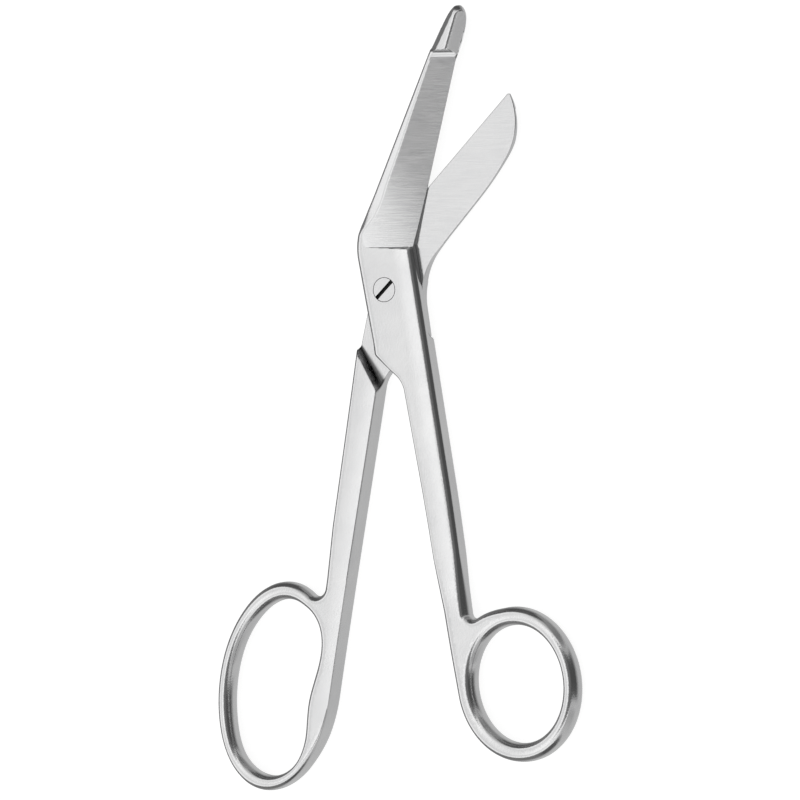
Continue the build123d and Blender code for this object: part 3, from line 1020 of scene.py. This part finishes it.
def screw_tree(settings):
    """Geometry Nodes tree of a slotted screw with a plain journal and a cut thread."""
    tree = bpy.data.node_groups.new("Slotted pivot screw", "GeometryNodeTree")
    sizes = {label: getattr(settings, label.lower().replace(" ", "_")) for label in SCREW_SIZES}
    sizes["Top"] = THICKNESS * MM
    sizes["Lap"] = (THICKNESS - LAP_GAP) / 2 * MM
    for label, value in sizes.items():
        socket = tree.interface.new_socket(label, in_out="INPUT", socket_type="NodeSocketFloat")
        socket.default_value = value
    for label in ("Material", "Slot Material"):
        tree.interface.new_socket(label, in_out="INPUT", socket_type="NodeSocketMaterial")
    tree.interface.new_socket("Geometry", in_out="OUTPUT", socket_type="NodeSocketGeometry")
    size = node(tree, "NodeGroupInput", (-1600, 0)).outputs
    spot = node(tree, "GeometryNodeInputPosition", (-1600, -500)).outputs["Position"]
    at = node(tree, "ShaderNodeSeparateXYZ", (-1400, -500), Vector=spot).outputs
    calc = partial(calculate, tree)

    def vector(place, **parts):
        """A vector from its parts."""
        return node(tree, "ShaderNodeCombineXYZ", place, **parts).outputs["Vector"]

    def upright(sides, rows, radius, low, high, place):
        """A cylinder standing between two heights."""
        counts = {"Vertices": sides, "Side Segments": rows, "Fill Segments": 4}
        depth = calc("SUBTRACT", high, low)
        made = node(tree, "GeometryNodeMeshCylinder", place, **counts, Radius=radius, Depth=depth)
        middle = vector((place[0], place[1] - 250), Z=calc("MULTIPLY", calc("ADD", high, low), 0.5))
        moved = node(
            tree, "GeometryNodeTransform", (place[0] + 200, place[1]),
            Geometry=made.outputs["Mesh"], Translation=middle,
        )
        return moved.outputs["Geometry"]

    def swell(geometry, factor, place):
        """Move points in or out from the axis by a factor."""
        x, y = (calc("MULTIPLY", at[axis], factor) for axis in "XY")
        moved = node(
            tree, "GeometryNodeSetPosition", (place[0] + 200, place[1]),
            Geometry=geometry, Position=vector(place, X=x, Y=y, Z=at["Z"]),
        )
        return moved.outputs["Geometry"]

    # Head, with a chamfered rim and a slot cut across it
    seat = calc("SUBTRACT", size["Top"], size["Head Depth"])
    head = upright(128, 8, size["Head Radius"], seat, size["Top"], (-1000, 500))
    rim = calc("SUBTRACT", size["Top"], size["Edge Break"])
    over = calc("MAXIMUM", calc("SUBTRACT", at["Z"], rim), 0.0)
    head = swell(head, calc("SUBTRACT", 1.0, calc("DIVIDE", over, size["Head Radius"])), (-500, 500))
    bar_size = vector(
        (-1200, 150),
        X=calc("MULTIPLY", size["Head Radius"], 4.0),
        Y=size["Slot Width"],
        Z=calc("MULTIPLY", size["Slot Depth"], 2.0),
    )
    bar = node(tree, "GeometryNodeMeshCube", (-1000, 150), Size=bar_size)
    laid = node(
        tree, "GeometryNodeTransform", (-700, 150), Geometry=bar.outputs["Mesh"],
        Translation=vector((-1200, -150), Z=size["Top"]), Rotation=vector((-1200, 0), Z=size["Slot Angle"]),
    )
    slotted = node(tree, "GeometryNodeMeshBoolean", (0, 400), operation="DIFFERENCE")
    feed(tree, head, slotted.inputs["Mesh 1"])
    feed(tree, laid.outputs["Geometry"], slotted.inputs["Mesh 2"])

    # Journal and thread
    journal = upright(96, 2, size["Journal Radius"], size["Lap"], seat, (-1000, -700))
    thread = upright(72, 60, size["Thread Radius"], 0.0, size["Lap"], (-1000, -1100))
    around = calc("DIVIDE", calc("ARCTAN2", at["Y"], at["X"]), 2 * pi)
    turns = calc("SUBTRACT", calc("DIVIDE", at["Z"], size["Thread Pitch"]), around)
    wave = calc("MULTIPLY", calc("PINGPONG", calc("FRACT", turns), 0.5), 2.0)
    deep = calc("DIVIDE", size["Thread Depth"], size["Thread Radius"])
    thread = swell(thread, calc("SUBTRACT", 1.0, calc("MULTIPLY", wave, deep)), (-500, -1100))

    joined = node(tree, "GeometryNodeJoinGeometry", (400, 0))
    for geometry in (slotted.outputs["Mesh"], journal, thread):
        feed(tree, geometry, joined.inputs["Geometry"])
    real = node(tree, "GeometryNodeRealizeInstances", (700, 0), Geometry=joined.outputs["Geometry"])
    painted = node(
        tree, "GeometryNodeSetMaterial", (1000, 0),
        Geometry=real.outputs["Geometry"], Material=size["Material"],
    )

    # The slot's floor and walls take a dark material of their own: painted shade of the deep slot, with dirt
    off_axis = calc(
        "SUBTRACT",
        calc("MULTIPLY", at["Y"], calc("COSINE", size["Slot Angle"])),
        calc("MULTIPLY", at["X"], calc("SINE", size["Slot Angle"])),
    )
    half_slot = calc("MULTIPLY", size["Slot Width"], 0.5 + SLOT_MARGIN)
    beside = calc("LESS_THAN", calc("ABSOLUTE", off_axis), half_slot)
    bottom = calc("SUBTRACT", size["Top"], calc("MULTIPLY", size["Slot Depth"], 1 + SLOT_MARGIN))
    in_slot = calc("MULTIPLY", beside, calc("GREATER_THAN", at["Z"], bottom))
    slot = node(
        tree, "GeometryNodeSetMaterial", (1200, 0),
        Geometry=painted.outputs["Geometry"], Selection=in_slot, Material=size["Slot Material"],
    )
    node(tree, "NodeGroupOutput", (1400, 0), Geometry=slot.outputs["Geometry"])
    return tree


def plain_mesh(name, tree, inputs):
    """Run a Geometry Nodes tree and keep its result as a plain mesh object."""
    piece = bpy.data.objects.new(name, bpy.data.meshes.new(name))
    bpy.context.scene.collection.objects.link(piece)
    modifier = piece.modifiers.new("Shape", "NODES")
    modifier.node_group = tree
    for item in tree.interface.items_tree:
        if item.in_out == "INPUT" and item.name in inputs:
            modifier[item.identifier] = inputs[item.name]
    depsgraph = bpy.context.evaluated_depsgraph_get()
    mesh = bpy.data.meshes.new_from_object(piece.evaluated_get(depsgraph), depsgraph=depsgraph)
    piece.modifiers.remove(modifier)
    piece.data = mesh
    mesh.name = name
    smooth(mesh)
    return piece


# Stage

FLOOR_HALF = 3.0
FLOOR_CORNERS = ((-1, -1), (1, -1), (1, 1), (-1, 1))

# Light tent, by a ray's lean to the right and its rise towards the blades, in
# degrees: an oval opening that is dark inside, with a bright rim round it.
# The stops are how far out of the opening a ray is, and how bright it is there.
OPENING = SimpleNamespace(lean=30.0, width=44.0, widest=0.55, height=26.0)
OPENING_SLANT = SimpleNamespace(start=10.0, end=60.0, rise=0.22)
TENT_STOPS = [
    (0, 0.19), (0.55, 0.19), (0.72, 0.21), (0.82, 0.24), (0.914, 0.31), (0.96, 0.62), (1.0, 0.95),
    (1.05, 1.3), (1.12, 1.5), (1.22, 1.5), (1.39, 1.0), (1.6, 1.0), (2.36, 1.42), (2.45, 1.2),
    (2.62, 0.55), (2.8, 0.25), (4, 0.22),
]
TENT_REACH, TENT_PEAK = 4.0, 1.5
RIGHT_LEAN, RIGHT_LIGHT = (30.0, 50.0), (1.5, 0.75)
FAR_RISE, FAR_LIGHT = (30.0, 48.0), (1.0, 0.5)
UNDER_Z, UNDER_X = (-0.45, -0.75), (-0.6, -0.3)


def ramp_stops(ramp, stops):
    """Set a colour ramp's stops from (place, grey) pairs."""
    elements = ramp.color_ramp.elements
    while len(elements) > 1:
        elements.remove(elements[0])
    elements[0].position = stops[0][0]
    elements[0].color = (stops[0][1],) * 3 + (1,)
    for place, grey in stops[1:]:
        elements.new(place).color = (grey, grey, grey, 1)


def lay_floor(scene, settings):
    """A pale floor that glows, so that the steel lies on white."""
    mesh = bpy.data.meshes.new("floor")
    mesh.from_pydata([(x * FLOOR_HALF, y * FLOOR_HALF, 0) for x, y in FLOOR_CORNERS], [], [(0, 1, 2, 3)])
    floor = bpy.data.objects.new("floor", mesh)
    scene.collection.objects.link(floor)
    paper = bpy.data.materials.new("white table")
    paper.use_nodes = True
    tree = paper.node_tree
    shader = tree.nodes["Principled BSDF"].inputs
    shader["Base Color"].default_value = (*settings.floor_colour, 1)
    shader["Roughness"].default_value = 0.9
    shader["Specular IOR Level"].default_value = 0.0
    shader["Emission Color"].default_value = (1, 1, 1, 1)
    seen = node(tree, "ShaderNodeLightPath", (-600, 0)).outputs["Is Camera Ray"]
    glow = map_range(tree, (-300, 0), seen, (0, 1), (settings.floor_glow, settings.backlight))
    feed(tree, glow, shader["Emission Strength"])
    mesh.materials.append(paper)
    floor.visible_glossy = False


def hang_light_tent(scene, settings):
    """A light tent all round, with the floor's light below it."""
    world = bpy.data.worlds.new("light tent")
    world.use_nodes = True
    scene.world = world
    tree = world.node_tree
    calc = partial(calculate, tree)
    ray = node(tree, "ShaderNodeTexCoord", (-2200, 0)).outputs["Generated"]
    towards = node(tree, "ShaderNodeSeparateXYZ", (-2000, 0), Vector=ray).outputs
    lean = calc("DEGREES", calc("ARCTAN2", towards["X"], towards["Z"]))
    rise = calc("DEGREES", calc("ARCSINE", towards["Y"]))

    wide = calc("DIVIDE", calc("SUBTRACT", lean, OPENING.lean), OPENING.width)
    wide = calc("MINIMUM", wide, OPENING.widest)
    slant = calc("SUBTRACT", calc("MINIMUM", lean, OPENING_SLANT.end), OPENING_SLANT.start)
    slant = calc("MULTIPLY", slant, OPENING_SLANT.rise)
    tall = calc("DIVIDE", calc("SUBTRACT", rise, slant), OPENING.height)
    away = calc("SQRT", calc("ADD", calc("MULTIPLY", wide, wide), calc("MULTIPLY", tall, tall)))
    tent = node(tree, "ShaderNodeValToRGB", (-900, 100), Fac=calc("DIVIDE", away, TENT_REACH))
    ramp_stops(tent, [(place / TENT_REACH, grey / TENT_PEAK) for place, grey in TENT_STOPS])

    right = map_range(tree, (-900, -200), lean, RIGHT_LEAN, RIGHT_LIGHT)
    far = map_range(tree, (-900, -1100), rise, FAR_RISE, FAR_LIGHT)
    scaled = node(tree, "ShaderNodeVectorMath", (-300, 0), operation="SCALE")
    feed(tree, tent.outputs["Color"], scaled.inputs[0])
    feed(tree, calc("MULTIPLY", right, far), scaled.inputs["Scale"])

    under = map_range(tree, (-900, -500), towards["Z"], UNDER_Z, (0, 1))
    clear = map_range(tree, (-900, -800), towards["X"], UNDER_X, (0, 1))
    below = calc("MULTIPLY", under, clear)
    glow = (settings.floor_glow, settings.floor_glow, settings.floor_glow, 1)
    light = mix(tree, (-100, 0), below, scaled.outputs["Vector"], glow, data_type="RGBA")
    back = tree.nodes["Background"].inputs
    back["Strength"].default_value = settings.light
    feed(tree, light, back["Color"])


def set_camera(scene, settings):
    """A camera far above the scissors, leaning to the right."""
    tilt, distance = settings.view_tilt, settings.view_distance
    lens = bpy.data.cameras.new("camera")
    lens.lens = lens.sensor_width * distance / settings.view_width
    camera = bpy.data.objects.new("camera", lens)
    x, y, z = settings.view_centre
    camera.location = (x + distance * sin(tilt), y, z + distance * cos(tilt))
    camera.rotation_euler = (0, tilt, 0)
    scene.collection.objects.link(camera)
    scene.camera = camera


# Settings


class ScissorsForging(bpy.types.PropertyGroup):
    outer_round: FloatProperty(
        name="Outer edge round", description="Radius on the handles' outer edges",
        default=1.25 * MM, unit="LENGTH", precision=5,
    )
    bow_round: FloatProperty(
        name="Bow round", description="Radius on the edges of the bows",
        default=1.75 * MM, unit="LENGTH", precision=5,
    )
    edge_break: FloatProperty(
        name="Edge break", description="Small break along the laps' inner edges",
        default=0.14 * MM, unit="LENGTH", precision=5,
    )
    bow_depth: FloatProperty(
        name="Bow depth", description="How much deeper than wide the bows' rounded edges are",
        default=0.9, min=0, max=2,
    )
    face_crown: FloatProperty(
        name="Face crown", description="How far the handles' faces fall towards their edges",
        default=0.12 * MM, unit="LENGTH", precision=6,
    )
    crease: FloatProperty(
        name="Crease", description="Softness of the creases between ground faces",
        default=0.03 * MM, unit="LENGTH", precision=6,
    )
    outline_pitch: FloatProperty(
        name="Outline pitch", description="Spacing of points along an outline",
        default=0.3 * MM, unit="LENGTH", precision=5,
    )
    blade_pitch: FloatProperty(
        name="Blade pitch", description="Spacing of points over the blades and laps",
        default=0.32 * MM, unit="LENGTH", precision=5,
    )
    probe_pitch: FloatProperty(
        name="Probe pitch", description="Spacing of points over the probe",
        default=0.13 * MM, unit="LENGTH", precision=5,
    )
    handle_pitch: FloatProperty(
        name="Handle pitch", description="Spacing of points over the handles and bows",
        default=0.6 * MM, unit="LENGTH", precision=5,
    )
    steel_light: FloatVectorProperty(
        name="Steel, light", description="Colour of the steel where it is clean",
        default=(0.66, 0.66, 0.66), subtype="COLOR", min=0, max=1,
    )
    steel_dark: FloatVectorProperty(
        name="Steel, dark", description="Colour of the steel where it is handled",
        default=(0.60, 0.60, 0.605), subtype="COLOR", min=0, max=1,
    )
    # Painted shade: the dark colour laid in the hollow of the step
    step_shade_colour: FloatVectorProperty(
        name="Steel, unpolished", description="Colour of the steel in the hollow of the step",
        default=(0.10, 0.10, 0.10), subtype="COLOR", min=0, max=1,
    )
    satin: FloatProperty(
        name="Satin", description="Roughness of the satin finish",
        default=0.17, subtype="FACTOR", min=0, max=1,
    )


class ScissorsScrew(bpy.types.PropertyGroup):
    head_radius: FloatProperty(
        name="Head radius", description="Radius of the slotted head",
        default=3.1 * MM, unit="LENGTH", precision=5,
    )
    head_depth: FloatProperty(
        name="Head depth", description="Depth of the head in its counterbore",
        default=1.37 * MM, unit="LENGTH", precision=5,
    )
    journal_radius: FloatProperty(
        name="Journal radius", description="Radius the probe half turns on",
        default=2.2 * MM, unit="LENGTH", precision=5,
    )
    thread_radius: FloatProperty(
        name="Thread radius", description="Outer radius of the thread",
        default=1.9 * MM, unit="LENGTH", precision=5,
    )
    thread_pitch: FloatProperty(
        name="Thread pitch", description="Rise of the thread in one turn",
        default=0.6 * MM, unit="LENGTH", precision=5,
    )
    thread_depth: FloatProperty(
        name="Thread depth", description="Depth of the thread's groove",
        default=0.3 * MM, unit="LENGTH", precision=5,
    )
    slot_width: FloatProperty(
        name="Slot width", description="Width of the driver slot",
        default=1.0 * MM, unit="LENGTH", precision=5,
    )
    slot_depth: FloatProperty(
        name="Slot depth", description="Depth of the driver slot",
        default=0.8 * MM, unit="LENGTH", precision=5,
    )
    slot_angle: FloatProperty(
        name="Slot angle", description="Turn of the driver slot",
        default=radians(45), unit="ROTATION",
    )
    # Painted shade and dirt: the near-black colour in the driver slot
    slot_shade_and_dirt_colour: FloatVectorProperty(
        name="Slot", description="Colour of the steel in the slot",
        default=(0.02, 0.02, 0.02), subtype="COLOR", min=0, max=1,
    )
    edge_break: FloatProperty(
        name="Edge break", description="Chamfer round the head",
        default=0.09 * MM, unit="LENGTH", precision=5,
    )


class ScissorsStage(bpy.types.PropertyGroup):
    view_tilt: FloatProperty(
        name="View tilt", description="Lean of the camera from straight above, to the right",
        default=radians(27.5), unit="ROTATION",
    )
    view_distance: FloatProperty(
        name="View distance", description="Distance of the camera",
        default=3.0, unit="LENGTH",
    )
    view_width: FloatProperty(
        name="View width", description="Width that the picture takes in",
        default=0.2032, unit="LENGTH",
    )
    view_centre: FloatVectorProperty(
        name="View centre", description="Point in the middle of the picture",
        default=(2.96 * MM, -28.0 * MM, 2.9 * MM), subtype="XYZ", precision=5,
    )
    floor_colour: FloatVectorProperty(
        name="Floor", description="Colour of the floor",
        default=(0.3, 0.3, 0.3), subtype="COLOR", min=0, max=1,
    )
    floor_glow: FloatProperty(
        name="Floor glow", description="Light that the floor throws on the steel",
        default=0.67, min=0,
    )
    backlight: FloatProperty(
        name="Backlight", description="Brightness of the floor itself",
        default=0.88, min=0,
    )
    light: FloatProperty(
        name="Light", description="Strength of the light tent",
        default=1.0, min=0,
    )


# Operators


class SCISSORS_OT_stage(bpy.types.Operator):
    """Make the pale floor, the light tent and the camera"""

    bl_idname = "scissors.stage"
    bl_label = "Stage"

    def execute(self, context):
        scene = context.scene
        scene.view_settings.view_transform = "Standard"
        for make in (lay_floor, hang_light_tent, set_camera):
            make(scene, scene.scissors_stage)
        return {"FINISHED"}


def finish_half(context, half, name, outline, bore):
    """Forge a half, give it its steel and put it on its body."""
    forging = context.scene.scissors_forging
    piece = forge(half, f"{name}_forging", outline, bore, forging)
    material = bpy.data.materials.get("satin steel") or steel("satin steel", forging, forging.satin)
    piece.data.materials.append(material)
    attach(piece, name)
    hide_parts(name)


class SCISSORS_OT_probe_half(bpy.types.Operator):
    """Forge the half with the probe-tipped blade and the oval bow"""

    bl_idname = "scissors.probe_half"
    bl_label = "Probe half"

    def execute(self, context):
        finish_half(context, PROBE, "probe_half", probe_outline, PROBE_BORE)
        return {"FINISHED"}


class SCISSORS_OT_large_ring_half(bpy.types.Operator):
    """Forge the half with the plain blade and the long bow"""

    bl_idname = "scissors.large_ring_half"
    bl_label = "Large-ring half"

    def execute(self, context):
        finish_half(context, RING, "large_ring_half", ring_outline, RING_BORE)
        return {"FINISHED"}


class SCISSORS_OT_pivot_screw(bpy.types.Operator):
    """Turn the slotted pivot screw"""

    bl_idname = "scissors.pivot_screw"
    bl_label = "Pivot screw"

    def execute(self, context):
        settings = context.scene.scissors_screw
        forging = context.scene.scissors_forging
        finishes = {
            "Material": steel("screw steel", forging, forging.satin + SCREW_SATIN),
            "Slot Material": slot_shade_and_dirt("slot steel", settings),
        }
        piece = plain_mesh("pivot_screw_turned", screw_tree(settings), finishes)
        if not piece.data.polygons:
            raise RuntimeError("The screw's nodes made no faces")
        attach(piece, "large_ring_half")
        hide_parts("pivot_screw")
        return {"FINISHED"}


class SCISSORS_PT_panel(bpy.types.Panel):
    """Sizes, colours and makers of the scissors"""

    bl_idname = "SCISSORS_PT_panel"
    bl_label = "Bandage scissors"
    bl_space_type = "VIEW_3D"
    bl_region_type = "UI"
    bl_category = "Scissors"

    def draw(self, context):
        for operator in OPERATORS:
            self.layout.operator(operator.bl_idname)
        for name in GROUPS:
            group = getattr(context.scene, name)
            box = self.layout.box()
            for key in group.__annotations__:
                box.prop(group, key)


OPERATORS = (SCISSORS_OT_stage, SCISSORS_OT_probe_half, SCISSORS_OT_large_ring_half, SCISSORS_OT_pivot_screw)
GROUPS = {
    "scissors_forging": ScissorsForging,
    "scissors_screw": ScissorsScrew,
    "scissors_stage": ScissorsStage,
}
CLASSES = (*GROUPS.values(), *OPERATORS, SCISSORS_PT_panel)


def register():
    for kind in CLASSES:
        bpy.utils.register_class(kind)
    for name, group in GROUPS.items():
        setattr(bpy.types.Scene, name, PointerProperty(type=group))


def unregister():
    for name in GROUPS:
        delattr(bpy.types.Scene, name)
    for kind in reversed(CLASSES):
        bpy.utils.unregister_class(kind)


def main():
    register()
    bpy.ops.scissors.stage()
    bpy.ops.scissors.probe_half()
    bpy.ops.scissors.large_ring_half()
    bpy.ops.scissors.pivot_screw()


if __name__ == "__main__":
    main()
